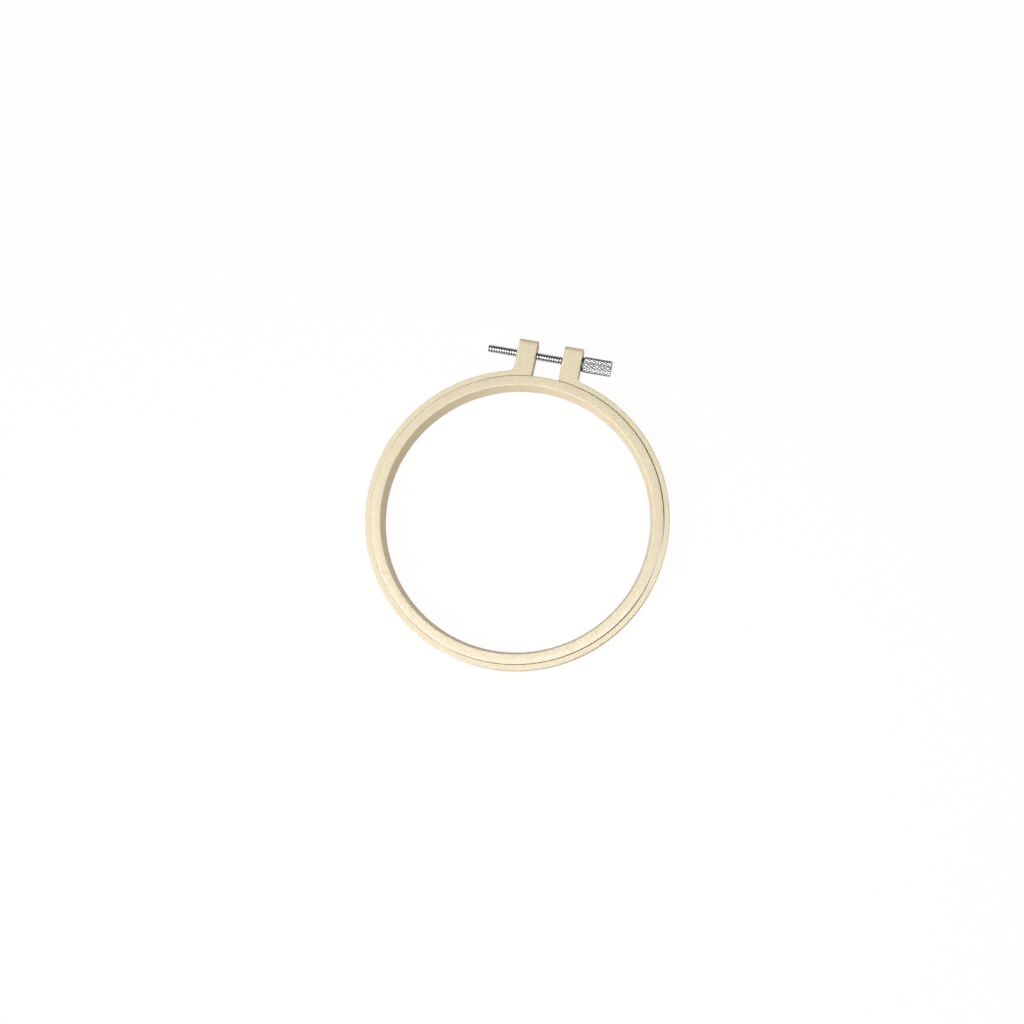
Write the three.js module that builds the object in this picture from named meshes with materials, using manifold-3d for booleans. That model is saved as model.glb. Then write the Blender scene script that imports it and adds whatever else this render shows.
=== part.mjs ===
// Screw embroidery hoop: a split outer ring with two upright lugs, a plain inner ring that lies in it,
// and a long knurled screw that draws the lugs together to grip the cloth between the rings.
// Millimetres, +Z up. The hoop lies flat on its back, its lugs towards +Y and the screw along X.

import * as THREE from "three";
import { mergeVertices } from "three/addons/utils/BufferGeometryUtils.js";
import Module from "manifold-3d";

const wasm = await Module();
wasm.setup();

// Driving dimensions: rings
const OUTER_DIAMETER = 152;
const OUTER_WALL = 2.7;
const OUTER_DEPTH = 8.5;
const OUTER_EDGE_ROUND = 0.55;
const RING_CLEARANCE = 0.3;
const INNER_PROUD = 0.6;
const INNER_WALL_FRONT = 5;
const INNER_WALL_BACK = 6.4;
const INNER_EDGE_ROUND = 0.65;
const INNER_CROWN_WIDTH = 2.6;
const INNER_CROWN_RADIUS = 12;

// Driving dimensions: lugs
const LUG_GAP = 13.8;
const LUG_WIDTH = 9.8;
const LUG_HEIGHT = 16.2;
const LUG_TOP_ROUND = 4;
const LUG_CORNER_ROUND = 0.9;
const LUG_ROOT_FILLET = 3;

// Driving dimensions: screw, washer and threaded insert
const SCREW_HEIGHT = 8.7;
const THREAD_DIAMETER = 4.2;
const THREAD_PITCH = 1.3;
const THREAD_DEPTH = 0.6;
const THREAD_CREST = 0.26;
const THREAD_ROOT = 0.3;
const THREAD_TAIL = 15.3;
const THREAD_CLEARANCE = 0.25;
const TIP_CHAMFER = 0.5;
const BORE_CLEARANCE = 0.3;
const SEAT_CLEARANCE = 0.3;
const WASHER_DIAMETER = 7.6;
const WASHER_THICKNESS = 0.5;
const HEAD_DIAMETER = 8.1;
const HEAD_LENGTH = 14.3;
const HEAD_CHAMFER = 0.3;
const HEAD_SOCKET_DEPTH = 9;
const SHANK_DIAMETER = 3.4;
const KNURL_DEPTH = 0.35;
const KNURL_AROUND = 17;
const KNURL_ALONG = 5;
const INSERT_DIAMETER = 6;
const INSERT_LENGTH = 7.5;

// Fineness of the round stretches
const RING_STEPS = 96;
const ROUND_STEPS = 2;
const CROWN_STEPS = 2;
const FILLET_STEPS = 5;
const TOP_STEPS = 6;
const BORE_STEPS = 20;
const THREAD_STEPS = 12;

// How far a cutting tool runs past what it cuts, and how close two vertices are one
const CUT_MARGIN = 1;
const SPARE_TURNS = 2;
const WELD = 1e-4;

// Places that follow from the driving dimensions, about the rings' common centre
const outerRadius = OUTER_DIAMETER / 2;
const outerBore = outerRadius - OUTER_WALL;
const innerRadius = outerBore - RING_CLEARANCE;
const innerDepth = OUTER_DEPTH + INNER_PROUD;
const lugInner = LUG_GAP / 2;
const lugOuter = lugInner + LUG_WIDTH;
const lugTop = outerRadius + LUG_HEIGHT;
const screwAxis = outerRadius + SCREW_HEIGHT;
const ringCentreY = (outerRadius - lugTop) / 2;
const threadRadius = THREAD_DIAMETER / 2;
const boreRadius = threadRadius + BORE_CLEARANCE;
const insertBoreRadius = INSERT_DIAMETER / 2 + BORE_CLEARANCE;
const insertStart = -lugOuter + SEAT_CLEARANCE;
const washerStart = lugOuter + SEAT_CLEARANCE;
const headStart = washerStart + WASHER_THICKNESS + SEAT_CLEARANCE;
const tipX = -lugOuter - THREAD_TAIL;
const shankRadius = SHANK_DIAMETER / 2;
const socketRadius = shankRadius + BORE_CLEARANCE;

// A closed mesh as a solid that can be cut and joined.
function toSolid(geometry) {
  const bare = geometry.clone();
  bare.deleteAttribute("normal");
  bare.deleteAttribute("uv");
  const merged = mergeVertices(bare, WELD);
  return new wasm.Manifold(
    new wasm.Mesh({
      numProp: 3,
      vertProperties: merged.attributes.position.array,
      triVerts: new Uint32Array(merged.index.array),
    }),
  );
}

// The triangles of a solid as a geometry for a mesh.
function toGeometry(solid) {
  const mesh = solid.getMesh();
  const geometry = new THREE.BufferGeometry();
  geometry.setAttribute("position", new THREE.BufferAttribute(mesh.vertProperties, 3));
  geometry.setIndex(new THREE.BufferAttribute(mesh.triVerts, 1));
  const flat = geometry.toNonIndexed();
  flat.computeVertexNormals();
  return flat;
}

// Points along an arc, both ends included.
function arc(x, y, radius, from, to, steps) {
  const points = [];
  for (let i = 0; i <= steps; i++) {
    const angle = from + ((to - from) * i) / steps;
    points.push(new THREE.Vector2(x + radius * Math.cos(angle), y + radius * Math.sin(angle)));
  }
  return points;
}

// A closed profile of (radius, height) turned about the axis, with that axis then laid along Z.
function turnedAboutZ(profile, steps) {
  return new THREE.LatheGeometry([...profile, profile[0].clone()], steps).rotateX(Math.PI / 2);
}

// A profile of (radius, place along the axis), laid along X. It starts and ends on the axis or closes on itself.
function turnedAboutX(profile, steps) {
  return new THREE.LatheGeometry(profile, steps).rotateZ(-Math.PI / 2);
}

// A plain round bar along X.
function bar(radius, from, to, steps) {
  return new THREE.CylinderGeometry(radius, radius, to - from, steps)
    .rotateZ(-Math.PI / 2)
    .translate((from + to) / 2, 0, 0);
}

// Outline of the split ring with its lugs, seen from the front; the right half is mirrored to the left.
function splitRingOutline() {
  const filletX = lugOuter + LUG_ROOT_FILLET;
  const filletReach = outerRadius + LUG_ROOT_FILLET;
  const filletY = Math.sqrt(filletReach ** 2 - filletX ** 2);
  const filletAngle = Math.atan2(filletY, filletX);
  const boreEnd = Math.atan2(Math.sqrt(outerBore ** 2 - lugInner ** 2), lugInner);
  const round = LUG_CORNER_ROUND;
  const outside = [
    ...arc(lugInner + round, lugTop - round, round, Math.PI, Math.PI / 2, ROUND_STEPS),
    ...arc(lugOuter - round, lugTop - round, round, Math.PI / 2, 0, ROUND_STEPS),
    ...arc(filletX, filletY, LUG_ROOT_FILLET, Math.PI, Math.PI + filletAngle, FILLET_STEPS),
    ...arc(0, 0, outerRadius, filletAngle, 0, RING_STEPS / 4).slice(1),
    ...arc(0, 0, outerRadius, 0, -Math.PI / 2, RING_STEPS / 4).slice(1),
  ];
  const inside = arc(0, 0, outerBore, boreEnd, -Math.PI / 2, RING_STEPS / 2);
  const mirrored = (points) => points.map((p) => new THREE.Vector2(-p.x, p.y)).reverse();
  return [...outside, ...mirrored(outside).slice(1), ...mirrored(inside).reverse(), ...inside.reverse().slice(1)];
}

// Prism along X that takes the square front edge off the lugs' tops; their back edge stays nearly sharp.
function topRoundCutter() {
  const reach = LUG_TOP_ROUND;
  const outline = [
    ...arc(lugTop - reach, OUTER_DEPTH - reach, reach, Math.PI / 2, 0, TOP_STEPS),
    new THREE.Vector2(lugTop + CUT_MARGIN, OUTER_DEPTH - reach),
    new THREE.Vector2(lugTop + CUT_MARGIN, OUTER_DEPTH + CUT_MARGIN),
    new THREE.Vector2(lugTop - reach, OUTER_DEPTH + CUT_MARGIN),
  ];
  const length = 2 * (lugOuter + CUT_MARGIN);
  const prism = new THREE.ExtrudeGeometry(new THREE.Shape(outline), { depth: length, bevelEnabled: false });
  // the outline's x becomes Y, its y becomes Z and the extrusion runs along X
  prism.applyMatrix4(new THREE.Matrix4().set(0, 0, 1, -length / 2, 1, 0, 0, 0, 0, 1, 0, 0, 0, 0, 0, 1));
  return prism;
}

// Split outer ring: one moulding with two lugs, a plain bore in the right lug and a stepped one in the left.
function outerRing() {
  const blank = new THREE.ExtrudeGeometry(new THREE.Shape(splitRingOutline()), {
    depth: OUTER_DEPTH - 2 * OUTER_EDGE_ROUND,
    bevelThickness: OUTER_EDGE_ROUND,
    bevelSize: OUTER_EDGE_ROUND,
    bevelOffset: -OUTER_EDGE_ROUND,
    bevelSegments: ROUND_STEPS,
  }).translate(0, 0, OUTER_EDGE_ROUND);
  const reach = lugOuter + CUT_MARGIN;
  const screwBore = bar(boreRadius, -reach, reach, BORE_STEPS).translate(0, screwAxis, OUTER_DEPTH / 2);
  const insertBore = bar(insertBoreRadius, -reach, insertStart + INSERT_LENGTH + SEAT_CLEARANCE, BORE_STEPS);
  return toGeometry(
    toSolid(blank)
      .subtract(toSolid(topRoundCutter()))
      .subtract(toSolid(screwBore))
      .subtract(toSolid(insertBore.translate(0, screwAxis, OUTER_DEPTH / 2))),
  );
}

// Plain inner ring: straight outside, its inner wall leaning in towards the back, its front face falling a
// little towards the outside.
function innerRing() {
  const front = innerRadius - INNER_WALL_FRONT;
  const back = innerRadius - INNER_WALL_BACK;
  const round = INNER_EDGE_ROUND;
  const lean = Math.atan2(front - back, innerDepth);
  const quarter = Math.PI / 2;
  const crownStart = innerRadius - INNER_CROWN_WIDTH;
  const crownReach = INNER_CROWN_RADIUS - round;
  const fall = Math.asin((INNER_CROWN_WIDTH - round) / crownReach);
  const crownEnd = innerDepth - INNER_CROWN_RADIUS + crownReach * Math.cos(fall);
  // how far in from its corner each arc's centre lies, where the leaning wall meets a flat face
  const frontInset = round * Math.tan((quarter - lean) / 2);
  const backInset = round * Math.tan((quarter + lean) / 2);
  const profile = [
    ...arc(innerRadius - round, round, round, -quarter, 0, ROUND_STEPS),
    ...arc(innerRadius - round, crownEnd, round, 0, quarter - fall, ROUND_STEPS).slice(0, -1),
    ...arc(crownStart, innerDepth - INNER_CROWN_RADIUS, INNER_CROWN_RADIUS, quarter - fall, quarter, CROWN_STEPS),
    ...arc(front + frontInset, innerDepth - round, round, quarter, 2 * quarter - lean, ROUND_STEPS),
    ...arc(back + backInset, round, round, 2 * quarter - lean, 3 * quarter, ROUND_STEPS),
  ];
  return turnedAboutZ(profile, RING_STEPS);
}

// One right-handed thread along X as a solid bar, longer than it is needed; extra widens it for a threaded hole.
function threadBlank(from, to, extra) {
  const crest = threadRadius + extra;
  const root = crest - THREAD_DEPTH;
  const flank = (THREAD_PITCH - THREAD_CREST - THREAD_ROOT) / 2;
  const section = [
    [0, crest],
    [THREAD_CREST, crest],
    [THREAD_CREST + flank, root],
    [THREAD_CREST + flank + THREAD_ROOT, root],
  ];
  const firstTurn = Math.floor(from / THREAD_PITCH) - SPARE_TURNS;
  const turns = Math.ceil(to / THREAD_PITCH) + SPARE_TURNS - firstTurn;
  const rows = turns * section.length;
  const positions = [];
  for (let row = 0; row <= rows; row++) {
    const [offset, radius] = section[row % section.length];
    const start = (firstTurn + Math.floor(row / section.length)) * THREAD_PITCH + offset;
    for (let step = 0; step < THREAD_STEPS; step++) {
      const angle = (2 * Math.PI * step) / THREAD_STEPS;
      const x = start + (THREAD_PITCH * step) / THREAD_STEPS;
      positions.push(x, radius * Math.cos(angle), radius * Math.sin(angle));
    }
  }
  // the column after the last is the first one, a whole pitch of rows further on
  const at = (row, step) =>
    step < THREAD_STEPS ? row * THREAD_STEPS + step : (row + section.length) * THREAD_STEPS;
  const faces = [];
  const lastRow = rows - section.length;
  for (let row = 0; row < lastRow; row++)
    for (let step = 0; step < THREAD_STEPS; step++) {
      const [a, b, c, d] = [at(row, step), at(row + 1, step), at(row + 1, step + 1), at(row, step + 1)];
      faces.push(a, c, b, a, d, c);
    }
  // each end closes on a point of the axis, along the helix and down the step between its two ends
  const close = (row, apexX, flip) => {
    const loop = [];
    for (let step = 0; step <= THREAD_STEPS; step++) loop.push(at(row, step));
    for (let k = section.length - 1; k > 0; k--) loop.push(at(row + k, 0));
    const apex = positions.length / 3;
    positions.push(apexX, 0, 0);
    loop.forEach((v, i) => {
      const next = loop[(i + 1) % loop.length];
      faces.push(...(flip ? [apex, next, v] : [apex, v, next]));
    });
  };
  close(0, firstTurn * THREAD_PITCH, true);
  close(lastRow, (firstTurn + turns) * THREAD_PITCH, false);
  const geometry = new THREE.BufferGeometry();
  geometry.setAttribute("position", new THREE.Float32BufferAttribute(positions, 3));
  geometry.setIndex(faces);
  return geometry;
}

// Screw shank: the thread from its chamfered tip to the washer, then a plain pin that sits in the head.
function screwShank() {
  const threadEnd = headStart - SEAT_CLEARANCE;
  const pinEnd = headStart + HEAD_SOCKET_DEPTH - SEAT_CLEARANCE;
  const wide = threadRadius + CUT_MARGIN;
  const trim = turnedAboutX(
    [
      [0, tipX],
      [threadRadius - TIP_CHAMFER, tipX],
      [wide, tipX + TIP_CHAMFER + CUT_MARGIN],
      [wide, threadEnd],
      [0, threadEnd],
    ].map(([radius, x]) => new THREE.Vector2(radius, x)),
    BORE_STEPS,
  );
  const pin = bar(shankRadius, threadEnd - CUT_MARGIN, pinEnd, BORE_STEPS);
  return toGeometry(toSolid(threadBlank(tipX, threadEnd, 0)).intersect(toSolid(trim)).add(toSolid(pin)));
}

// Knurled head: crossed grooves leave rows of small pyramids, and a blind socket takes the shank's pin.
function knurledHead() {
  const columns = 2 * KNURL_AROUND;
  const rows = 2 * KNURL_ALONG;
  const high = HEAD_DIAMETER / 2;
  const low = high - KNURL_DEPTH;
  const knurlStart = headStart + HEAD_CHAMFER;
  const knurlLength = HEAD_LENGTH - 2 * HEAD_CHAMFER;
  const rings = [[headStart, () => high - HEAD_CHAMFER]];
  for (let row = 0; row <= rows; row++) {
    const edge = row === 0 || row === rows;
    const radius = (column) => (edge || (row + column) % 2 === 0 ? low : high);
    rings.push([knurlStart + (knurlLength * row) / rows, radius]);
  }
  rings.push([headStart + HEAD_LENGTH, () => high - HEAD_CHAMFER]);
  const positions = [];
  for (const [x, radius] of rings)
    for (let column = 0; column < columns; column++) {
      const angle = (2 * Math.PI * column) / columns;
      positions.push(x, radius(column) * Math.cos(angle), radius(column) * Math.sin(angle));
    }
  const faces = [];
  for (let ring = 0; ring + 1 < rings.length; ring++)
    for (let column = 0; column < columns; column++) {
      const next = (column + 1) % columns;
      const [a, b] = [ring * columns + column, (ring + 1) * columns + column];
      const [d, c] = [ring * columns + next, (ring + 1) * columns + next];
      // each square folds along its groove, from one low corner to the other
      if ((ring + column) % 2 === 0) faces.push(a, d, b, d, c, b);
      else faces.push(a, c, b, a, d, c);
    }
  const ends = [
    [headStart, 0, true],
    [headStart + HEAD_LENGTH, (rings.length - 1) * columns, false],
  ];
  for (const [x, first, start] of ends) {
    const centre = positions.length / 3;
    positions.push(x, 0, 0);
    for (let column = 0; column < columns; column++) {
      const [v, next] = [first + column, first + ((column + 1) % columns)];
      faces.push(...(start ? [centre, next, v] : [centre, v, next]));
    }
  }
  const geometry = new THREE.BufferGeometry();
  geometry.setAttribute("position", new THREE.Float32BufferAttribute(positions, 3));
  geometry.setIndex(faces);
  const socket = bar(socketRadius, headStart - CUT_MARGIN, headStart + HEAD_SOCKET_DEPTH, BORE_STEPS);
  return toGeometry(toSolid(geometry).subtract(toSolid(socket)));
}

// Thin washer between the head and the right lug.
function washer() {
  const profile = [
    [boreRadius, washerStart],
    [WASHER_DIAMETER / 2, washerStart],
    [WASHER_DIAMETER / 2, washerStart + WASHER_THICKNESS],
    [boreRadius, washerStart + WASHER_THICKNESS],
    [boreRadius, washerStart],
  ];
  return turnedAboutX(
    profile.map(([radius, x]) => new THREE.Vector2(radius, x)),
    BORE_STEPS,
  );
}

// Threaded insert in the left lug, which the screw runs in.
function threadedInsert() {
  const end = insertStart + INSERT_LENGTH;
  const sleeve = bar(INSERT_DIAMETER / 2, insertStart, end, BORE_STEPS);
  return toGeometry(toSolid(sleeve).subtract(toSolid(threadBlank(insertStart, end, THREAD_CLEARANCE))));
}

// Materials
const mouldedPlastic = () => new THREE.MeshStandardMaterial({ color: 0xf2e6c9, roughness: 0.5, metalness: 0 });
const platedSteel = () => new THREE.MeshStandardMaterial({ color: 0xc9ccd0, roughness: 0.22, metalness: 1 });
const brass = () => new THREE.MeshStandardMaterial({ color: 0xc8a95a, roughness: 0.35, metalness: 1 });

function namedMesh(name, geometry, material) {
  const mesh = new THREE.Mesh(geometry, material);
  mesh.name = name;
  return mesh;
}

// The screw's pieces share one axis, which lies across the lugs at half their depth.
const screwLine = new THREE.Group();
screwLine.position.set(0, screwAxis, OUTER_DEPTH / 2);
screwLine.add(
  namedMesh("screw_shank", screwShank(), platedSteel()),
  namedMesh("knurled_head", knurledHead(), platedSteel()),
  namedMesh("washer", washer(), platedSteel()),
  namedMesh("threaded_insert", threadedInsert(), brass()),
);

const rings = new THREE.Group();
rings.position.set(0, ringCentreY, 0);
rings.add(
  namedMesh("outer_ring", outerRing(), mouldedPlastic()),
  namedMesh("inner_ring", innerRing(), mouldedPlastic()),
  screwLine,
);

const hoop = new THREE.Group();
hoop.add(rings);

export default hoop;
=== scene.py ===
"""Screw embroidery hoop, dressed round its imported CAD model.

A split outer ring with two upright lugs and a plain inner ring, both moulded in cream plastic, and a
plated screw with a knurled barrel head across the lugs. Metres, in the CAD model's frame: the hoop lies on
its back, its lugs towards +Y and the screw along X.
"""

from __future__ import annotations

import logging
import math
from dataclasses import dataclass
from enum import Enum

import bmesh
import bpy
from mathutils import Matrix, Vector

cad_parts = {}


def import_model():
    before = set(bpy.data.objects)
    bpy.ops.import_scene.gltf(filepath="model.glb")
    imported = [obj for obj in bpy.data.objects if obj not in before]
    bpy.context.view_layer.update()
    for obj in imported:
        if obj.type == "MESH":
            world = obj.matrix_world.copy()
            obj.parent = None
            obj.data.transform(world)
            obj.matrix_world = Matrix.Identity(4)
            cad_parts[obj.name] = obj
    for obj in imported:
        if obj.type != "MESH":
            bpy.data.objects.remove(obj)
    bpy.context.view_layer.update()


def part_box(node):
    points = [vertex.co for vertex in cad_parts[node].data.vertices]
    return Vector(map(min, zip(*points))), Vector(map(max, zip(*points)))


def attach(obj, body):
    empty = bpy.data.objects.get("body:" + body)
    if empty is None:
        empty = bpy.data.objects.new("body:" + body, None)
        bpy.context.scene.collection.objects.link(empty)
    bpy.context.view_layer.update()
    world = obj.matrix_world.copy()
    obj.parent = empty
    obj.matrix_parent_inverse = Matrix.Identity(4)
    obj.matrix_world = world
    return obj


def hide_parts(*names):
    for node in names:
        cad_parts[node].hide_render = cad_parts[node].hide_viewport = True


LOG = logging.getLogger("embroidery_hoop")
MM = 0.001
MICRON = 0.001 * MM
WHITE = (1.0, 1.0, 1.0)

Corners = tuple[Vector, Vector]
Colour = tuple[float, float, float]
Point = tuple[float, float, float]
Span = tuple[float, float]
Ends = tuple["Field | float", "Field | float"]
Profile = list[tuple[float, float]]


class Slot(Enum):
    """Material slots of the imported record."""

    PLASTIC = "hoop_plastic"
    STEEL = "plated_steel"
    BRASS = "insert_brass"


class Body(Enum):
    """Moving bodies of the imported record."""

    FRAME = "outer_frame"
    INNER = "inner_hoop"
    WASHER = "washer_body"
    SCREW = "screw"


class Metal(Enum):
    """A metal's bright colour, its painted groove shade, and its roughness from polished to worn."""

    NICKEL = ((0.86, 0.88, 0.89), (0.03, 0.034, 0.042), (0.28, 0.36))
    DARK_STEEL = ((0.17, 0.173, 0.18), (0.03, 0.034, 0.042), (0.34, 0.46))
    BRASS = ((0.80, 0.62, 0.30), (0.25, 0.16, 0.06), (0.25, 0.42))


class Field:
    """A number that varies over a surface, combined with ordinary arithmetic."""

    def __init__(self, net: NodeNet, socket: bpy.types.NodeSocket) -> None:
        """Keeps the socket that gives the number, and the net that it belongs to."""
        self.net = net
        self.socket = socket

    def __add__(self, other: Field | float) -> Field:
        """The sum."""
        return self.net.math("ADD", self, other)

    def __radd__(self, other: float) -> Field:
        """The sum, with the plain number first."""
        return self.net.math("ADD", other, self)

    def __sub__(self, other: Field | float) -> Field:
        """The difference."""
        return self.net.math("SUBTRACT", self, other)

    def __rsub__(self, other: float) -> Field:
        """The difference, with the plain number first."""
        return self.net.math("SUBTRACT", other, self)

    def __mul__(self, other: Field | float) -> Field:
        """The product."""
        return self.net.math("MULTIPLY", self, other)

    def __rmul__(self, other: float) -> Field:
        """The product, with the plain number first."""
        return self.net.math("MULTIPLY", other, self)

    def __truediv__(self, other: Field | float) -> Field:
        """The quotient."""
        return self.net.math("DIVIDE", self, other)

    def __rtruediv__(self, other: float) -> Field:
        """The quotient, with the plain number first."""
        return self.net.math("DIVIDE", other, self)


class NodeNet:
    """A node tree that is put together in code."""

    def __init__(self, tree: bpy.types.NodeTree) -> None:
        """Keeps the tree that the nodes go into."""
        self.tree = tree

    def add(self, kind: str, **settings: object) -> bpy.types.Node:
        """Adds one node.

        Args:
            kind: the node's type.
            settings: properties to set on it.

        Returns:
            The node.
        """
        node = self.tree.nodes.new(kind)
        for name, value in settings.items():
            setattr(node, name, value)
        return node

    def feed(self, socket: bpy.types.NodeSocket, value: object) -> None:
        """Gives a socket its value.

        Args:
            socket: the socket that takes the value.
            value: a field or a socket to link, or a plain value to set.
        """
        if isinstance(value, Field):
            value = value.socket
        if isinstance(value, bpy.types.NodeSocket):
            self.tree.links.new(value, socket)
        else:
            socket.default_value = value

    def node(self, kind: str, values: dict[str | int, object], **settings: object) -> bpy.types.Node:
        """Adds one node and gives its sockets their values.

        Args:
            kind: the node's type.
            values: a value for each socket that has one, by the socket's name or number.
            settings: properties to set on the node.

        Returns:
            The node.
        """
        node = self.add(kind, **settings)
        for name, value in values.items():
            self.feed(node.inputs[name], value)
        return node

    def math(self, operation: str, *values: Field | float) -> Field:
        """Adds a Math node.

        Args:
            operation: the node's operation.
            values: what it works on, in order.

        Returns:
            Its result.
        """
        node = self.node("ShaderNodeMath", dict(enumerate(values)), operation=operation)
        return Field(self, node.outputs[0])

    def spread(self, value: Field, source: Ends, target: Ends = (0.0, 1.0), smooth: bool = False) -> Field:
        """Maps a range of numbers onto another, and holds it there.

        Args:
            value: the number to map.
            source: the two ends of its own range.
            target: what the two ends become.
            smooth: whether the change eases in and out.

        Returns:
            The mapped number.
        """
        style = "SMOOTHSTEP" if smooth else "LINEAR"
        ends = dict(enumerate((value, *source, *target)))
        return Field(self, self.node("ShaderNodeMapRange", ends, interpolation_type=style).outputs[0])

    def split(self, vector: bpy.types.NodeSocket) -> tuple[Field, Field, Field]:
        """The three parts of a vector."""
        outputs = self.node("ShaderNodeSeparateXYZ", {0: vector}).outputs
        return Field(self, outputs[0]), Field(self, outputs[1]), Field(self, outputs[2])

    def join(self, x: Field | float, y: Field | float, z: Field | float) -> bpy.types.NodeSocket:
        """A vector of three numbers."""
        return self.node("ShaderNodeCombineXYZ", {0: x, 1: y, 2: z}).outputs[0]


class ShapeRule(NodeNet):
    """A Geometry Nodes tree with named inputs, whose result is kept as a plain mesh."""

    def __init__(self, name: str) -> None:
        """Starts an empty tree of that name."""
        super().__init__(bpy.data.node_groups.new(name, "GeometryNodeTree"))
        self.source = self.add("NodeGroupInput")

    def takes(self, name: str, kind: str = "NodeSocketFloat") -> Field:
        """Adds a named input.

        Args:
            name: the input's name.
            kind: the type of its socket.

        Returns:
            The input, for use in the tree.
        """
        self.tree.interface.new_socket(name, in_out="INPUT", socket_type=kind)
        return Field(self, self.source.outputs[name])

    def numbers(self, *names: str, kind: str = "NodeSocketFloat") -> list[Field]:
        """Adds a named input for each of those names, in order."""
        return [self.takes(name, kind) for name in names]

    def gives(self, shape: bpy.types.NodeSocket) -> None:
        """Ends the tree: instances made real, and the material from its own input.

        Args:
            shape: the shape that the tree has made.
        """
        material = self.takes("Material", "NodeSocketMaterial")
        self.tree.interface.new_socket("Shape", in_out="OUTPUT", socket_type="NodeSocketGeometry")
        real = self.node("GeometryNodeRealizeInstances", {"Geometry": shape}).outputs[0]
        dressed = self.node("GeometryNodeSetMaterial", {"Geometry": real, "Material": material}).outputs[0]
        self.feed(self.add("NodeGroupOutput").inputs[0], dressed)

    def bake(
        self, name: str, values: dict[str, object], base: bpy.types.Mesh | None = None
    ) -> bpy.types.Object:
        """Works the rule out for one piece.

        Args:
            name: the piece's name.
            values: a value for each named input.
            base: the mesh that the rule starts from, if it takes one.

        Returns:
            The piece, a plain mesh with no modifier.
        """
        piece = bpy.data.objects.new(name, base or bpy.data.meshes.new(name))
        bpy.context.scene.collection.objects.link(piece)
        modifier = piece.modifiers.new("rule", "NODES")
        modifier.node_group = self.tree
        for item in self.tree.interface.items_tree:
            if item.in_out == "INPUT" and item.name in values:
                modifier[item.identifier] = values[item.name]
        return keep_shape(piece)


def keep_shape(piece: bpy.types.Object) -> bpy.types.Object:
    """Turns what an object's modifiers give into its own plain mesh, and removes them.

    Args:
        piece: the piece with its modifiers.

    Returns:
        The same piece, its mesh made plain.
    """
    bpy.context.view_layer.update()
    evaluated = piece.evaluated_get(bpy.context.evaluated_depsgraph_get())
    mesh = bpy.data.meshes.new_from_object(evaluated)
    piece.modifiers.clear()
    piece.data = mesh
    mesh.name = piece.name
    return piece


def smooth_shape(piece: bpy.types.Object, crease_deg: float) -> bpy.types.Object:
    """Shades a piece smooth between creases, its broad faces kept flat.

    Args:
        piece: the piece, a plain mesh.
        crease_deg: the angle between two faces from which their edge stays sharp.

    Returns:
        The piece, with its normals stored in its mesh.
    """
    piece.data.polygons.foreach_set("use_smooth", [True] * len(piece.data.polygons))
    piece.data.set_sharp_from_angle(angle=math.radians(crease_deg))
    normals = piece.modifiers.new("normals", "WEIGHTED_NORMAL")
    normals.keep_sharp = True
    return keep_shape(piece)


def plain_piece(name: str, shape: bmesh.types.BMesh) -> bpy.types.Object:
    """Puts a shape into the scene, its faces turned outwards.

    Args:
        name: the piece's name.
        shape: its shape, which is used up.

    Returns:
        The piece.
    """
    bmesh.ops.recalc_face_normals(shape, faces=shape.faces)
    mesh = bpy.data.meshes.new(name)
    shape.to_mesh(mesh)
    shape.free()
    piece = bpy.data.objects.new(name, mesh)
    bpy.context.scene.collection.objects.link(piece)
    return piece


def prism(name: str, outline: list[Point], along: Point) -> bpy.types.Object:
    """Draws a flat outline out along a straight line.

    Args:
        name: the piece's name.
        outline: the outline's points, in order.
        along: how far the outline is drawn out, and which way.

    Returns:
        The piece.
    """
    shape = bmesh.new()
    face = shape.faces.new([shape.verts.new(point) for point in outline])
    raised = bmesh.ops.extrude_face_region(shape, geom=[face])["geom"]
    verts = [v for v in raised if isinstance(v, bmesh.types.BMVert)]
    bmesh.ops.translate(shape, verts=verts, vec=along)
    return plain_piece(name, shape)


def cut_away(piece: bpy.types.Object, cutter: bpy.types.Object) -> None:
    """Cuts one shape out of a piece, after the modifiers that the piece already has.

    Args:
        piece: the piece, whose mesh is plain afterwards.
        cutter: the shape to cut out, which is used up.
    """
    cut = piece.modifiers.new("cut", "BOOLEAN")
    cut.operation = "DIFFERENCE"
    cut.solver = "EXACT"
    cut.object = cutter
    keep_shape(piece)
    bpy.data.objects.remove(cutter)


def fit_out(piece: bpy.types.Object, node: str, body: Body) -> None:
    """Puts a finished piece in the place of its CAD node.

    Args:
        piece: the finished piece.
        node: the CAD node that it stands for.
        body: the body that it moves with.
    """
    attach(piece, body.value)
    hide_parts(node)
    LOG.info("%s: %d faces on body %s", piece.name, len(piece.data.polygons), body.value)


def arc(centre: tuple[float, float], radius: float, turn_deg: Span, steps: int) -> Profile:
    """Points along an arc, both ends included.

    Args:
        centre: the arc's centre.
        radius: its radius.
        turn_deg: the angles that it starts and ends at.
        steps: the number of stretches.

    Returns:
        The points.
    """
    first, last = (math.radians(a) for a in turn_deg)
    angles = [first + (last - first) * i / steps for i in range(steps + 1)]
    return [(centre[0] + radius * math.cos(a), centre[1] + radius * math.sin(a)) for a in angles]


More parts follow.
